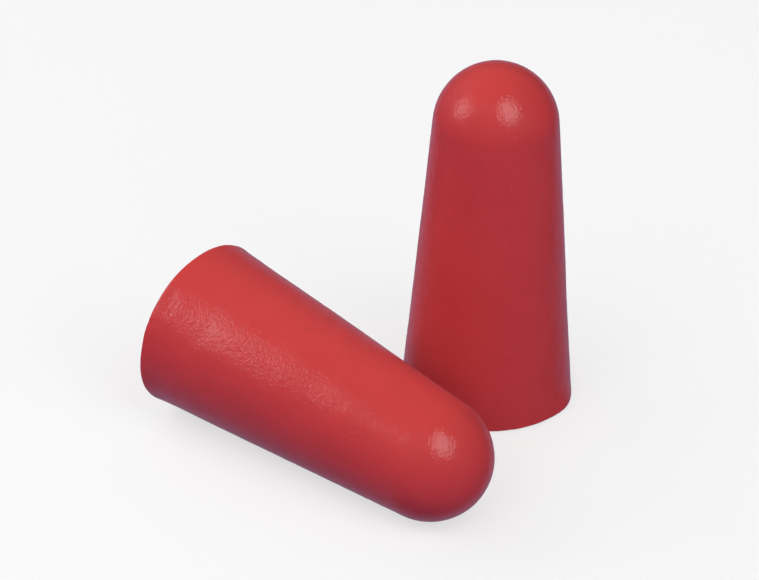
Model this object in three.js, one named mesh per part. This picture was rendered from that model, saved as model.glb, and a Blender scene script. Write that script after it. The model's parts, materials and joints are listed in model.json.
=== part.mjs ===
import * as THREE from 'three';

// A pair of disposable foam ear plugs. Each plug is one moulding of slow-recovery foam: a flat round
// base, a flank that tapers as a gentle cone, and a ball-shaped tip that the flank runs into smoothly.
// One plug stands on its base, and the other lies beside it on its flank, with its tip to the front.
//
// Millimetres, +Z up. The origin is the centre of the standing plug's base, on the level surface that
// both plugs rest on. -Y is the front.

// One plug
const PLUG_LENGTH = 26;
const BASE_RADIUS = 6.05;
const TIP_RADIUS = 4.4;
const BASE_EDGE_RADIUS = 0.2;

// Where the second plug lies: the centre of its base, and where its tip points, about +Z from +X
const LYING_BASE_X = -20.4;
const LYING_BASE_Y = -2.5;
const LYING_HEADING = THREE.MathUtils.degToRad(-38.7);

// How finely the round shapes are cut into flat facets
const SIDES = 64;
const EDGE_STEPS = 3;
const TIP_STEPS = 14;

// The flank is the cone that starts at the rim of the base and touches the ball of the tip.
const TIP_CENTRE = PLUG_LENGTH - TIP_RADIUS;
const RIM_TO_TIP_CENTRE = Math.hypot(BASE_RADIUS, TIP_CENTRE);
const HALF_ANGLE = Math.atan2(BASE_RADIUS, TIP_CENTRE) - Math.asin(TIP_RADIUS / RIM_TO_TIP_CENTRE);

// The base edge's rounding touches both the flat base and the cone.
const EDGE_CENTRE_RADIUS = BASE_RADIUS
  - BASE_EDGE_RADIUS * (1 + Math.sin(HALF_ANGLE)) / Math.cos(HALF_ANGLE);

// The middle of a facet lies a little nearer the axis than its corners do, by this factor. The lying
// plug rests on one row of facets, so its lean and its height follow from it.
const FACET_MIDDLE = Math.cos(Math.PI / SIDES);
const LYING_TILT = Math.atan(FACET_MIDDLE * Math.tan(HALF_ANGLE));
const LYING_BASE_HEIGHT = FACET_MIDDLE * BASE_RADIUS * Math.cos(LYING_TILT);

// Points along an arc in the half-plane (distance from the axis, height above the base)
function arc(centreRadius, centreHeight, radius, from, to, steps) {
  const points = [];
  for (let i = 0; i <= steps; i += 1) {
    const angle = from + (to - from) * i / steps;
    points.push(new THREE.Vector2(
      centreRadius + radius * Math.cos(angle),
      centreHeight + radius * Math.sin(angle),
    ));
  }
  return points;
}

// Half the plug's section, from the middle of the base round to the top of the tip
function plugProfile() {
  const edge = arc(
    EDGE_CENTRE_RADIUS, BASE_EDGE_RADIUS, BASE_EDGE_RADIUS, -Math.PI / 2, HALF_ANGLE, EDGE_STEPS,
  );
  const tip = arc(0, TIP_CENTRE, TIP_RADIUS, HALF_ANGLE, Math.PI / 2, TIP_STEPS);
  tip.pop();
  return [new THREE.Vector2(0, 0), ...edge, ...tip, new THREE.Vector2(0, PLUG_LENGTH)];
}

// A plug standing on its base with its axis on Z, turned so that a row of facets faces +X
function makePlug(name) {
  const firstCorner = Math.PI / SIDES;
  const geometry = new THREE.LatheGeometry(plugProfile(), SIDES, firstCorner, 2 * Math.PI);
  geometry.rotateX(Math.PI / 2);
  const foam = new THREE.MeshStandardMaterial({ color: 0xab333c, roughness: 0.7, metalness: 0 });
  const plug = new THREE.Mesh(geometry, foam);
  plug.name = name;
  return plug;
}

// The lying plug's +X side is turned down onto the surface, and its tip towards the front.
function makeLyingPlug() {
  const plug = makePlug('lying_plug');
  plug.rotation.y = Math.PI / 2 + LYING_TILT;
  const place = new THREE.Group();
  place.position.set(LYING_BASE_X, LYING_BASE_Y, LYING_BASE_HEIGHT);
  place.rotation.z = LYING_HEADING;
  place.add(plug);
  return place;
}

const earPlugs = new THREE.Group();
earPlugs.add(makePlug('standing_plug'));
earPlugs.add(makeLyingPlug());

export default earPlugs;
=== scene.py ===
"""Two foam ear plugs, one standing on its base and one lying on its flank.

Metres, +Z up, -Y to the front. Each plug is a moulding of slow-recovery foam: a gentle cone with a
ball-shaped tip and a slightly dished base, under a fine orange-peel skin.
"""

import json
import math

import bpy
import numpy as np
from mathutils import Matrix, Vector


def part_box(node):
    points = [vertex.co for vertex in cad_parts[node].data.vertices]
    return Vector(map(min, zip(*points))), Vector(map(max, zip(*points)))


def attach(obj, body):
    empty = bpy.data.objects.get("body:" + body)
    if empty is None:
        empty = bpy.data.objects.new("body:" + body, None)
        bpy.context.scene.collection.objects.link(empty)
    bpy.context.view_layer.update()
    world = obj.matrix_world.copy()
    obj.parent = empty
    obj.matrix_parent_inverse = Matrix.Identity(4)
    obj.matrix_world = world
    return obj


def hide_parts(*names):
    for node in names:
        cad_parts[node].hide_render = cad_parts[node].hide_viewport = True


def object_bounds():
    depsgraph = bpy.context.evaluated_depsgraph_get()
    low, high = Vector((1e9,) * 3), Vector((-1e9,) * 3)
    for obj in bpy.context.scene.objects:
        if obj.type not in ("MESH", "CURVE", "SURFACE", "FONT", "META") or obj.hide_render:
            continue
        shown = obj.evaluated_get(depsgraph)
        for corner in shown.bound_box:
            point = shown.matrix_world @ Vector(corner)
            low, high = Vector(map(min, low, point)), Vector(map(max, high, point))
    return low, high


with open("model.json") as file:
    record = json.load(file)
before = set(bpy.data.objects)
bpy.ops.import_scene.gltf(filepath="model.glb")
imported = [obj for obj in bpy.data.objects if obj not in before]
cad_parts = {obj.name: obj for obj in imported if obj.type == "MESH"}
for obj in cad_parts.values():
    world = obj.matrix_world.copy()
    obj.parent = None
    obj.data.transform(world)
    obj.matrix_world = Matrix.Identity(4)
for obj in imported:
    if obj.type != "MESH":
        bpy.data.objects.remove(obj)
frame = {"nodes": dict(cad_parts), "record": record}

MM = 0.001
cad_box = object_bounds()

# How fine the plugs' surface is: squares across a cap, and rows along the edge and the flank
CAP_SQUARES = 96
EDGE_ROWS = 6
FLANK_ROWS = 176

# The moulded base: its rounded edge, the slight flare above it and the shallow dish inside it. The dish
# ends at this share of the base's radius, and a lower power makes its middle flatter.
EDGE_RADIUS = 0.18 * MM
FLARE = 0.02 * MM
FLARE_HEIGHT = 0.5 * MM
DISH_DEPTH = 0.22 * MM
DISH_REACH = 0.93
DISH_POWER = 0.8

# The skin's waviness, from the slow warp of the moulding to its orange peel: how far each stands out, as
# a standard deviation, and how far apart its bumps are. The two finer ones lose these shares on the tip.
WARP_HEIGHT = 0.018 * MM
WARP_SIZE = 11 * MM
PEEL_HEIGHT = 0.0035 * MM
PEEL_SIZE = 1.3 * MM
PEEL_TIP_LOSS = 0.4
FINE_HEIGHT = 0.0022 * MM
FINE_SIZE = 0.42 * MM
FINE_TIP_LOSS = 0.7

# How many waves make up a ripple, and the least and greatest of their lengths as shares of its size
RIPPLE_WAVES = 72
FINE_WAVES = 110
WAVE_LENGTHS = (0.75, 1.4)

# Shallow pits in the flank and tip, and pinholes in the base out to a share of its radius: how many
# there are, and the least and greatest of their radii and depths in millimetres
PITS = 70
PIT_RADII = (0.09, 0.2)
PIT_DEPTHS = (0.01, 0.035)
PINHOLES = 150
PINHOLE_RADII = (0.12, 0.3)
PINHOLE_DEPTHS = (0.02, 0.07)
PINHOLE_REACH = 0.9

# How each plug differs from a perfect one. Azimuths are on the plug itself, in degrees.
# - rim: where it stands out or falls in, as azimuth, width in degrees, and how far
# - creases: short ones that run beside the rim, as azimuth, half-length in degrees, and height
# - swellings: swellings and dents of the flank, as azimuth, height, radius, and how far they stand out
# - pattern_start: where the skin's patterns start, in millimetres, so that the two plugs aren't alike
STANDING_SHAPE = {
    "seed": 11,
    "rim": ((-22, 15, 0.20 * MM), (150, 30, 0.10 * MM), (70, 25, -0.06 * MM)),
    "creases": (),
    "swellings": (),
    "pattern_start": (3.1, 7.7, 1.9),
}
LYING_SHAPE = {
    "seed": 47,
    "rim": ((-60, 22, 0.08 * MM), (60, 30, 0.10 * MM)),
    "creases": ((-134, 8, 0.95 * MM), (-130, 5, 1.3 * MM), (-139, 4, 0.65 * MM)),
    "swellings": (
        (-134, 0, 3.0 * MM, 0.08 * MM),
        (-134, 2.8 * MM, 2.4 * MM, -0.08 * MM),
        (-134, 9.2 * MM, 3.8 * MM, 0.17 * MM),
        (-134, 14.0 * MM, 4.5 * MM, 0.08 * MM),
    ),
    "pattern_start": (41.3, 12.9, 27.1),
}
RIM_REACH = 1.0 * MM
CREASE_WIDTH = 0.12 * MM
CREASE_DEPTH = 0.03 * MM

# The pale floor: flat out to here, then bending up into a wall of this height. It and the card in its
# place lie a hair below the plugs.
FLOOR_FLAT = 1.2
FLOOR_BEND = 0.8
FLOOR_WALL = 3.0
FLOOR_BEND_ROWS = 12
FLOOR_SIDES = 96
FLOOR_DROP = 0.01 * MM
CARD_DROP = 0.02 * MM

# The camera, on the front side, a little above the plugs. Angles are in degrees, its lens and sensor in
# millimetres.
CAMERA_AIM = Vector((-7.57, -7.46, 12.4)) * MM
CAMERA_AZIMUTH = 1.51
CAMERA_ELEVATION = 31.86
CAMERA_ROLL = 1.49
CAMERA_DISTANCE = 337.8 * MM
CAMERA_LENS = 232.85
CAMERA_SENSOR = 36.0


# ---- where the two plugs are, from the frame ----


def mount(name):
    """(point, outward direction) of one of the record's mounts."""
    found = next(m for m in frame["record"]["mounts"] if m["name"] == name)
    return Vector(found["pos_m"]), Vector(found["axis"]).normalized()


def plug_shape():
    """The plug's length, base radius, flank half-angle and tip radius, from the standing plug and the
    lean of the lying one, whose flank rests along the floor."""
    low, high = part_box("standing_plug")
    corners = np.array([v.co for v in frame["nodes"]["standing_plug"].data.vertices])
    radius = np.hypot(corners[:, 0], corners[:, 1])
    widest = radius.argmax()
    half_angle = math.asin(mount("lying_plug_base")[1].z)
    base = radius[widest] + (corners[widest, 2] - low.z) * math.tan(half_angle)
    length = high.z - low.z
    tip = (base * math.cos(half_angle) - length * math.sin(half_angle)) / (1 - math.sin(half_angle))
    return length, base, half_angle, tip


LENGTH, BASE_RADIUS, HALF_ANGLE, TIP_RADIUS = plug_shape()
TIP_CENTRE = LENGTH - TIP_RADIUS

# Over this height, around the tip's centre, the skin's waviness changes from the flank's to the tip's
TIP_BLEND = 0.5 * TIP_RADIUS

# The base is whatever faces down by more than this, which takes in the lowest part of its rounded edge
BASE_FACING = -0.5


def lying_place():
    """Where the lying plug's own frame goes: its axis runs from the base's mount towards the tip."""
    centre, outward = mount("lying_plug_base")
    tip_way = -outward
    sideways = Vector((0, 0, 1)).cross(tip_way).normalized()
    upward = tip_way.cross(sideways)
    turn = Matrix((-upward, sideways, tip_way)).transposed().to_4x4()
    return Matrix.Translation(centre) @ turn


# ---- the plug's smooth surface ----


def disc_grid(n):
    """Points of the unit disc from an n by n grid of squares, so that no point is a pole. Its rim has
    4 n steps."""
    step = np.linspace(-1, 1, n + 1)
    x, y = np.meshgrid(step, step, indexing="ij")
    wide = abs(x) >= abs(y)
    big = np.where(wide, x, y)
    small = np.where(wide, y, x)
    turn = math.pi / 4 * np.divide(small, big, out=np.zeros_like(big), where=big != 0)
    along = big * np.cos(turn)
    across = big * np.sin(turn)
    return np.stack([np.where(wide, along, across), np.where(wide, across, along)], -1).reshape(-1, 2)


def disc_rim(n):
    """Numbers of the disc grid's rim points, anticlockwise from -45 degrees."""
    i = np.arange(n)
    side = n + 1
    return np.concatenate([n * side + i, (n - i) * side + n, n - i, i * side])


def disc_faces(n):
    """The disc grid's squares, anticlockwise seen from above."""
    i, j = np.meshgrid(np.arange(n), np.arange(n), indexing="ij")
    first = (i * (n + 1) + j).ravel()
    return np.stack([first, first + n + 1, first + n + 2, first + 1], 1)


def profile():
    """Rows of (radius, height, normal outward, normal up) from the flat base's rim to the tip's ball."""
    edge_centre = BASE_RADIUS - EDGE_RADIUS * (1 + math.sin(HALF_ANGLE)) / math.cos(HALF_ANGLE)
    angle = np.linspace(-math.pi / 2, HALF_ANGLE, EDGE_ROWS + 1)
    edge = np.stack([
        edge_centre + EDGE_RADIUS * np.cos(angle),
        EDGE_RADIUS + EDGE_RADIUS * np.sin(angle),
        np.cos(angle),
        np.sin(angle),
    ], 1)
    top_radius = TIP_RADIUS * math.cos(HALF_ANGLE)
    top_height = TIP_CENTRE + TIP_RADIUS * math.sin(HALF_ANGLE)
    share = np.linspace(0, 1, FLANK_ROWS + 1)[1:]
    flank = np.stack([
        edge[-1, 0] + (top_radius - edge[-1, 0]) * share,
        edge[-1, 1] + (top_height - edge[-1, 1]) * share,
        np.full_like(share, math.cos(HALF_ANGLE)),
        np.full_like(share, math.sin(HALF_ANGLE)),
    ], 1)
    return np.concatenate([edge, flank])


def ring(around, outward, upward):
    """Rows of a level ring: the unit circle's points times outward, all at upward."""
    return np.column_stack([around * outward, np.full(len(around), upward)])


def plug_surface():
    """Points, outward normals and square faces of one smooth plug, standing on the floor."""
    disc = disc_grid(CAP_SQUARES)
    rim = disc_rim(CAP_SQUARES)
    cap_faces = disc_faces(CAP_SQUARES)
    rows = profile()

    base = np.column_stack([disc * rows[0, 0], np.zeros(len(disc))])
    base_normal = np.tile([0.0, 0.0, -1.0], (len(disc), 1))

    reach = np.hypot(disc[:, 0], disc[:, 1])
    lean = reach * (math.pi / 2 - HALF_ANGLE)
    stretch = np.divide(np.sin(lean), reach, out=np.zeros_like(reach), where=reach > 0)
    tip_normal = np.column_stack([disc * stretch[:, None], np.cos(lean)])
    tip = tip_normal * TIP_RADIUS + [0, 0, TIP_CENTRE]

    turn = -math.pi / 4 + 2 * math.pi * np.arange(len(rim)) / len(rim)
    around = np.stack([np.cos(turn), np.sin(turn)], 1)
    middle = rows[1:-1]
    side = np.concatenate([ring(around, radius, height) for radius, height, _, _ in middle])
    side_normal = np.concatenate([ring(around, outward, upward) for _, _, outward, upward in middle])

    tip_start = len(base)
    side_start = tip_start + len(tip)
    rings = [rim]
    rings += [side_start + len(rim) * k + np.arange(len(rim)) for k in range(len(middle))]
    rings += [tip_start + rim]
    wall = [
        np.stack([low, np.roll(low, -1), np.roll(high, -1), high], 1)
        for low, high in zip(rings[:-1], rings[1:])
    ]
    points = np.concatenate([base, tip, side])
    normals = np.concatenate([base_normal, tip_normal, side_normal])
    faces = np.concatenate([cap_faces[:, ::-1], cap_faces + tip_start, *wall])
    return points, normals, faces


# ---- the relief on it ----


def ripple(points, size, seed, waves=RIPPLE_WAVES):
    """Smooth random heights at the points, in units of their standard deviation, with bumps about size
    apart."""
    draw = np.random.default_rng(seed)
    ways = draw.normal(size=(waves, 3))
    ways /= np.linalg.norm(ways, axis=1)[:, None]
    wave_number = 2 * math.pi / (size * draw.uniform(*WAVE_LENGTHS, waves))
    phase = draw.uniform(0, 2 * math.pi, waves)
    return np.cos(points @ (ways * wave_number[:, None]).T + phase).sum(1) * math.sqrt(2 / waves)


def dimples(points, centres, radii, depths):
    """Depth of round, flat-bottomed dimples at the points. Three radii out, nothing of a dimple is left."""
    total = np.zeros(len(points))
    for centre, radius, depth in zip(centres, radii, depths):
        near = np.flatnonzero((abs(points - centre) < 3 * radius).all(1))
        gap = np.linalg.norm(points[near] - centre, axis=1) / radius
        total[near] += depth * np.exp(-gap ** 4)
    return total


def scattered_dimples(points, allowed, draw, count, radii, depths):
    """Depth at the points of dimples at random ones of the points allowed, with radii and depths between
    those two millimetres."""
    centres = draw.choice(np.flatnonzero(allowed), count, replace=False)
    radius = draw.uniform(*radii, count) * MM
    depth = draw.uniform(*depths, count) * MM
    return dimples(points, points[centres], radius, depth)


def rim_shape(points, lobes):
    """How far an uneven rim stands out at the points: in full at the base, and gone a little way up the
    flank."""
    azimuth = np.degrees(np.arctan2(points[:, 1], points[:, 0]))
    total = np.zeros(len(points))
    for middle, width, height in lobes:
        gap = (azimuth - middle + 180) % 360 - 180
        total += height * np.exp(-(gap / width) ** 2)
    return total * np.exp(-(points[:, 2] / RIM_REACH) ** 2)


def crease_shape(points, creases):
    """How deep the creases are at the points."""
    azimuth = np.degrees(np.arctan2(points[:, 1], points[:, 0]))
    total = np.zeros(len(points))
    for middle, reach, height in creases:
        along = (azimuth - middle) / reach
        across = (points[:, 2] - height) / CREASE_WIDTH
        total += CREASE_DEPTH * np.exp(-along ** 4 - across ** 2)
    return total


def swelling_shape(points, swellings):
    """How far the swellings and dents stand out at the points."""
    total = np.zeros(len(points))
    for azimuth, height, radius, rise in swellings:
        turn = math.radians(azimuth)
        out = BASE_RADIUS - height * math.tan(HALF_ANGLE)
        middle = np.array([out * math.cos(turn), out * math.sin(turn), height])
        total += dimples(points, [middle], [radius], [rise])
    return total


def moulded(points, normals, shape):
    """The plug's points with the skin's relief on them: how foam really comes out of a mould."""
    seed = shape["seed"]
    draw = np.random.default_rng(seed)
    height = points[:, 2]
    on_base = normals[:, 2] < BASE_FACING
    reach = np.hypot(points[:, 0], points[:, 1]) / BASE_RADIUS
    on_tip = np.clip((height - TIP_CENTRE) / TIP_BLEND + 0.5, 0, 1)

    relief = WARP_HEIGHT * ripple(points, WARP_SIZE, seed + 1)
    relief += PEEL_HEIGHT * ripple(points, PEEL_SIZE, seed + 2) * (1 - PEEL_TIP_LOSS * on_tip)
    relief += FINE_HEIGHT * ripple(points, FINE_SIZE, seed + 3, FINE_WAVES) * (1 - FINE_TIP_LOSS * on_tip)
    relief += FLARE * np.exp(-(height / FLARE_HEIGHT) ** 2) * ~on_base
    relief -= DISH_DEPTH * (1 - np.clip(reach / DISH_REACH, 0, 1) ** 2) ** DISH_POWER * on_base

    relief -= scattered_dimples(points, ~on_base, draw, PITS, PIT_RADII, PIT_DEPTHS)
    inner_base = on_base & (reach < PINHOLE_REACH)
    relief -= scattered_dimples(points, inner_base, draw, PINHOLES, PINHOLE_RADII, PINHOLE_DEPTHS)
    relief -= crease_shape(points, shape["creases"])
    relief += swelling_shape(points, shape["swellings"]) * ~on_base
    outward = np.column_stack([points[:, :2] / BASE_RADIUS, np.zeros(len(points))])
    return points + normals * relief[:, None] + outward * rim_shape(points, shape["rim"])[:, None]


# ---- materials ----

# The foam's two reds, which drift into each other, and the faint lighter specks over them
FOAM_RED = (0.69, 0.056, 0.055)
FOAM_LIGHT_RED = (0.72, 0.060, 0.058)
FOAM_SPECK = (0.74, 0.067, 0.064)

# What is the same all over the foam: its soft matt body, and the thin glossy skin, which is the coat
FOAM_LOOK = {
    "IOR": 1.45,
    "Specular IOR Level": 0.15,
    "Subsurface Weight": 0.12,
    "Subsurface Radius": (1.0, 0.25, 0.2),
    "Subsurface Scale": 0.8 * MM,
    "Sheen Weight": 0.05,
    "Sheen Roughness": 0.35,
    "Sheen Tint": (0.8, 0.72, 1.0, 1),
    "Coat Weight": 1.0,
    "Coat IOR": 1.43,
    "Coat Roughness": 0.07,
}

# The foam's patterns, in waves or cells per millimetre
MOTTLE_SCALE = 0.32
SPECK_SCALE = 5.5
GLOSS_SCALE = 1.1
SOFT_PEEL_SCALE = 2.5
GRAIN_SCALE = 5.5
GRAIN_PATCH_SCALE = 0.5
PIMPLE_SCALE = 2.0

# Which part of each pattern's range is spread over what the pattern changes. A pimple's is the distance
# from its middle, in cells, from its flat top to its foot.
NOISE_RANGE = (0.3, 0.7)
SPECK_RANGE = (0.35, 0.7)
GRAIN_PATCH_RANGE = (0.35, 0.65)
PIMPLE_RANGE = (0.06, 0.18)

# What the patterns change: the share of speck colour, and the body's roughness
SPECK_SHARES = (0.0, 0.35)
BODY_ROUGHNESS = (0.38, 0.5)

# How high the reliefs stand. The grain is much fainter in the matt body than in the glossy skin.
SOFT_PEEL_HEIGHT = 0.01 * MM
SOFT_PEEL_STRENGTH = 0.7
GRAIN_BODY_HEIGHT = 0.006 * MM
GRAIN_SKIN_HEIGHT = 0.047 * MM
PIMPLE_HEIGHT = 0.02 * MM

# How strong the grain is: it varies between patches, and is fainter by the rim and towards the tip.
# Those two are a range of heights above the base, in millimetres, and the grain's share at its ends.
GRAIN_PATCH_STRENGTHS = (0.75, 1.1)
RIM_FADE = (6.0, 10.0), (0.6, 1.0)
TIP_FADE = (10.0, 18.0), (1.0, 0.42)

# The lilac card that lights the plugs from below, and the pale floor, whose two greys drift into each
# other with so many waves per metre
CARD_LOOK = {
    "Roughness": 0.9,
    "Specular IOR Level": 0.0,
}
CARD_LILAC = (0.34, 0.31, 0.70)

FLOOR_LOOK = {
    "Emission Color": (1.0, 1.0, 1.0, 1),
    "Emission Strength": 0.65,
    "Roughness": 0.85,
    "Specular IOR Level": 0.1,
}
FLOOR_GREY = (0.34, 0.34, 0.34)
FLOOR_LIGHT_GREY = (0.35, 0.35, 0.355)
FLOOR_SCALE = 6.0

# The Mix node's colour sockets, whose names its other sockets share
MIX_COLOURS = (6, 7)
MIX_RESULT = 2


class Nodes:
    """Adds shader nodes to a material or a world, and joins them."""

    def __init__(self, owner, shader="Principled BSDF"):
        self.owner = owner
        owner.use_nodes = True
        self.tree = owner.node_tree
        self.shader = self.tree.nodes[shader]

    def add(self, kind, **settings):
        node = self.tree.nodes.new(kind)
        for key, value in settings.items():
            setattr(node, key, value)
        return node

    def put(self, node, socket, value):
        """Sets an input, or joins it to another node's output."""
        target = node.inputs[socket]
        if isinstance(value, bpy.types.NodeSocket):
            self.tree.links.new(value, target)
        else:
            target.default_value = value

    def set_look(self, look):
        """Sets the shader's own inputs to the values of a look."""
        for socket, value in look.items():
            self.put(self.shader, socket, value)


def noise(nodes, where, scale, detail=2.0, rough=0.5):
    """Smooth noise, with scale in waves for each unit of where."""
    node = nodes.add("ShaderNodeTexNoise")
    nodes.put(node, "Vector", where)
    nodes.put(node, "Scale", scale)
    nodes.put(node, "Detail", detail)
    nodes.put(node, "Roughness", rough)
    return node.outputs["Fac"]


def cells(nodes, where, scale):
    """Distance from the middles of round cells, with scale in cells for each unit of where."""
    node = nodes.add("ShaderNodeTexVoronoi")
    nodes.put(node, "Vector", where)
    nodes.put(node, "Scale", scale)
    return node.outputs["Distance"]


def remap(nodes, value, source, target):
    """A value mapped smoothly from one range to another."""
    node = nodes.add("ShaderNodeMapRange", interpolation_type="SMOOTHSTEP")
    nodes.put(node, "Value", value)
    nodes.put(node, "From Min", source[0])
    nodes.put(node, "From Max", source[1])
    nodes.put(node, "To Min", target[0])
    nodes.put(node, "To Max", target[1])
    return node.outputs["Result"]


def times(nodes, first, second):
    node = nodes.add("ShaderNodeMath", operation="MULTIPLY")
    nodes.put(node, 0, first)
    nodes.put(node, 1, second)
    return node.outputs["Value"]


def blend_colours(nodes, share, first, second):
    """A mix of two colours, each of which is three numbers or another node's output."""
    node = nodes.add("ShaderNodeMix", data_type="RGBA")
    nodes.put(node, "Factor", share)
    for socket, colour in zip(MIX_COLOURS, (first, second)):
        nodes.put(node, socket, colour if isinstance(colour, bpy.types.NodeSocket) else (*colour, 1))
    return node.outputs[MIX_RESULT]


def bump(nodes, height, distance, strength, under=None):
    """The surface's normal with a relief on it, over the normal of what lies under, if anything does."""
    node = nodes.add("ShaderNodeBump")
    nodes.put(node, "Height", height)
    nodes.put(node, "Distance", distance)
    nodes.put(node, "Strength", strength)
    if under is not None:
        nodes.put(node, "Normal", under)
    return node.outputs["Normal"]


def grain_strength(nodes, own, where):
    """How strong the skin's grain is at each place."""
    height = nodes.add("ShaderNodeSeparateXYZ")
    nodes.put(height, "Vector", own)
    patches = noise(nodes, where, GRAIN_PATCH_SCALE)
    strength = remap(nodes, patches, GRAIN_PATCH_RANGE, GRAIN_PATCH_STRENGTHS)
    for heights, shares in (RIM_FADE, TIP_FADE):
        strength = times(nodes, strength, remap(nodes, height.outputs["Z"], heights, shares))
    return strength


def foam_material(name, pattern_start):
    """Orange-red slow-recovery foam under a thin glossy skin, which is finely grained and smoother by the
    rim and towards the tip."""
    nodes = Nodes(bpy.data.materials.new(name))
    own = nodes.add("ShaderNodeAttribute", attribute_name="own_mm").outputs["Vector"]
    shifted = nodes.add("ShaderNodeVectorMath", operation="ADD")
    nodes.put(shifted, 0, own)
    nodes.put(shifted, 1, pattern_start)
    where = shifted.outputs["Vector"]

    mottle = remap(nodes, noise(nodes, where, MOTTLE_SCALE, 3.0), NOISE_RANGE, (0.0, 1.0))
    specks = remap(nodes, noise(nodes, where, SPECK_SCALE, 2.0, 0.6), SPECK_RANGE, SPECK_SHARES)
    ground = blend_colours(nodes, mottle, FOAM_RED, FOAM_LIGHT_RED)
    nodes.put(nodes.shader, "Base Color", blend_colours(nodes, specks, ground, FOAM_SPECK))
    gloss_patches = noise(nodes, where, GLOSS_SCALE, 3.0, 0.6)
    nodes.put(nodes.shader, "Roughness", remap(nodes, gloss_patches, NOISE_RANGE, BODY_ROUGHNESS))

    peel = noise(nodes, where, SOFT_PEEL_SCALE)
    grain = cells(nodes, where, GRAIN_SCALE)
    pimples = remap(nodes, cells(nodes, where, PIMPLE_SCALE), PIMPLE_RANGE, (1.0, 0.0))
    strength = grain_strength(nodes, own, where)
    body = bump(nodes, peel, SOFT_PEEL_HEIGHT, SOFT_PEEL_STRENGTH)
    skin = bump(nodes, grain, GRAIN_SKIN_HEIGHT, strength, body)
    nodes.put(nodes.shader, "Normal", bump(nodes, grain, GRAIN_BODY_HEIGHT, strength, body))
    nodes.put(nodes.shader, "Coat Normal", bump(nodes, pimples, PIMPLE_HEIGHT, 1.0, skin))
    nodes.set_look(FOAM_LOOK)
    return nodes.owner


def card_material():
    """Even matt lilac card."""
    nodes = Nodes(bpy.data.materials.new("lilac_card"))
    nodes.put(nodes.shader, "Base Color", (*CARD_LILAC, 1))
    nodes.set_look(CARD_LOOK)
    return nodes.owner


def floor_material():
    """Smooth pale card."""
    nodes = Nodes(bpy.data.materials.new("pale_card"))
    where = nodes.add("ShaderNodeTexCoord").outputs["Object"]
    shade = noise(nodes, where, FLOOR_SCALE)
    nodes.put(nodes.shader, "Base Color", blend_colours(nodes, shade, FLOOR_GREY, FLOOR_LIGHT_GREY))
    nodes.set_look(FLOOR_LOOK)
    return nodes.owner


# ---- the two plugs ----


def new_object(name, data):
    """A new object in the scene, with that mesh, lamp or camera."""
    made = bpy.data.objects.new(name, data)
    bpy.context.scene.collection.objects.link(made)
    return made


def plug_piece(name, node, body, shape, place):
    """One finished plug, put in place and tied to its CAD body. The material reads where each point is on
    the plug itself, in millimetres, from the attribute own_mm."""
    smooth, normals, faces = plug_surface()
    points = moulded(smooth, normals, shape) @ np.array(place.to_3x3()).T + np.array(place.translation)
    points[:, 2] -= points[:, 2].min()
    mesh = bpy.data.meshes.new(name)
    mesh.from_pydata(points.tolist(), [], faces.tolist())
    own = mesh.attributes.new("own_mm", "FLOAT_VECTOR", "POINT")
    own.data.foreach_set("vector", (smooth / MM).astype(np.float32).ravel())
    mesh.shade_smooth()
    mesh.materials.append(foam_material("foam_" + body, shape["pattern_start"]))
    piece = new_object(name, mesh)
    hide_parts(node)
    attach(piece, body)


# ---- floor, light and camera ----

# Colours of the lights, and of the room below and above. Between those two, the room changes over this
# range of heights on a sphere of radius 1.
WHITE = (1.0, 1.0, 1.0)
LILAC = (1.0, 0.68, 0.98)
ROOM_BELOW = (0.04, 0.015, 0.025)
ROOM_ABOVE = (0.07, 0.075, 0.08)
ROOM_RANGE = (0.0, 0.8)

# How far from the plugs the large lamps stand
FAR = 0.9


def make_bowl(name, rows, drop, material):
    """A flat disc under the plugs, drop below them, that goes on outwards through the rows of (radius,
    height)."""
    turn = np.linspace(0, 2 * math.pi, FLOOR_SIDES, endpoint=False)
    points = [(r * math.cos(t), r * math.sin(t), z) for r, z in rows for t in turn]
    rings = [np.arange(len(turn)) + len(turn) * k for k in range(len(rows))]
    faces = [rings[0].tolist()]
    for inner, outer in zip(rings[:-1], rings[1:]):
        faces += np.stack([inner, outer, np.roll(outer, -1), np.roll(inner, -1)], 1).tolist()
    mesh = bpy.data.meshes.new(name)
    mesh.from_pydata(points, [], faces)
    mesh.materials.append(material)
    mesh.shade_smooth()
    bowl = new_object(name, mesh)
    bowl.location.z = cad_box[0].z - drop
    return bowl


def make_floor():
    """The pale floor that the camera sees, and a dimmer lilac card in its place for the light that the
    plugs get from below, so that their undersides stay in shade as they would on a darker table."""
    bend = np.linspace(0, math.pi / 2, FLOOR_BEND_ROWS + 1)
    rows = [(FLOOR_FLAT + FLOOR_BEND * math.sin(a), FLOOR_BEND * (1 - math.cos(a))) for a in bend]
    rows += [(FLOOR_FLAT + FLOOR_BEND, FLOOR_WALL)]
    floor = make_bowl("floor", rows, FLOOR_DROP, floor_material())
    floor.visible_diffuse = False
    floor.visible_glossy = False
    floor.visible_shadow = False
    card = make_bowl("bounce_card", [(FLOOR_FLAT, 0)], CARD_DROP, card_material())
    card.visible_camera = False
    card.visible_glossy = False
    card.visible_shadow = False


def direction(azimuth, elevation):
    """The way from the plugs to something at that azimuth, from the front towards +X, and elevation, in
    degrees."""
    a = math.radians(azimuth)
    e = math.radians(elevation)
    return Vector((math.sin(a) * math.cos(e), -math.cos(a) * math.cos(e), math.sin(e)))


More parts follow.
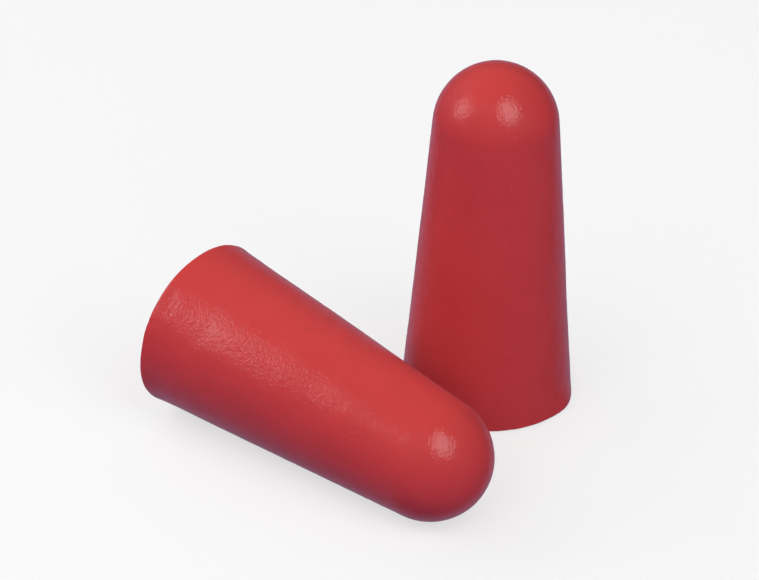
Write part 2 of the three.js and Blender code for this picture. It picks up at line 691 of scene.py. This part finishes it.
def softbox(name, way, distance, size, radiance, colour=WHITE, shows="both"):
    """A round-faced studio light that faces the plugs. way is its azimuth and elevation in degrees, size
    the width and height of its face, and radiance how bright that looks. It shows in the plugs as both
    light and highlight, or as one of them only."""
    middle = (cad_box[0] + cad_box[1]) / 2
    width, height = size
    light = bpy.data.lights.new(name, "AREA")
    light.shape = "ELLIPSE"
    light.size = width
    light.size_y = height
    light.energy = radiance * math.pi * (math.pi / 4 * width * height)
    light.color = colour
    lamp = new_object(name, light)
    towards = direction(*way)
    lamp.location = middle + towards * distance
    lamp.rotation_euler = towards.to_track_quat("Z", "Y").to_euler()
    lamp.visible_camera = False
    lamp.visible_diffuse = shows != "highlight"
    lamp.visible_glossy = shows != "light"


def make_light():
    """Two softboxes whose highlights show, four fills that only light, and two lilac lamps low down that
    only show, along the plugs' shaded edges. Around them the room is dim."""
    softbox("softbox_right", (36, 51), 0.40, (0.26, 0.31), 2.75)
    softbox("softbox_left", (-85, 33.2), 0.20, (0.108, 0.115), 2.2)
    softbox("fill_front", (-35, 50), FAR, (0.7, 0.7), 2.0, shows="light")
    softbox("fill_right", (55, 25), FAR, (0.8, 0.6), 1.2, shows="light")
    softbox("fill_left", (-125, 25), FAR, (0.9, 0.9), 1.5, shows="light")
    softbox("fill_back", (180, 40), FAR, (0.9, 0.9), 0.65, shows="light")
    softbox("glow_below", (180, -44), FAR, (1.8, 1.8), 0.23, LILAC, shows="highlight")
    softbox("glow_left", (-90, -48), FAR, (0.38, 0.38), 0.17, LILAC, shows="highlight")
    room = Nodes(bpy.data.worlds.new("room"), "Background")
    way = room.add("ShaderNodeTexCoord").outputs["Generated"]
    split = room.add("ShaderNodeSeparateXYZ")
    room.put(split, "Vector", way)
    share = remap(room, split.outputs["Z"], ROOM_RANGE, (0.0, 1.0))
    room.put(room.shader, "Color", blend_colours(room, share, ROOM_BELOW, ROOM_ABOVE))
    bpy.context.scene.world = room.owner
    bpy.context.scene.view_settings.view_transform = "Standard"


def make_camera():
    data = bpy.data.cameras.new("camera")
    data.lens = CAMERA_LENS
    data.sensor_width = CAMERA_SENSOR
    camera = new_object("camera", data)
    away = direction(CAMERA_AZIMUTH, CAMERA_ELEVATION)
    aim = away.to_track_quat("Z", "Y").to_matrix()
    roll = Matrix.Rotation(math.radians(CAMERA_ROLL), 3, "Z")
    camera.matrix_world = Matrix.Translation(CAMERA_AIM + away * CAMERA_DISTANCE) @ (aim @ roll).to_4x4()
    bpy.context.scene.camera = camera


make_camera()
make_light()
make_floor()
plug_piece("standing_foam_plug", "standing_plug", "standing", STANDING_SHAPE, Matrix.Identity(4))
plug_piece("lying_foam_plug", "lying_plug", "lying", LYING_SHAPE, lying_place())
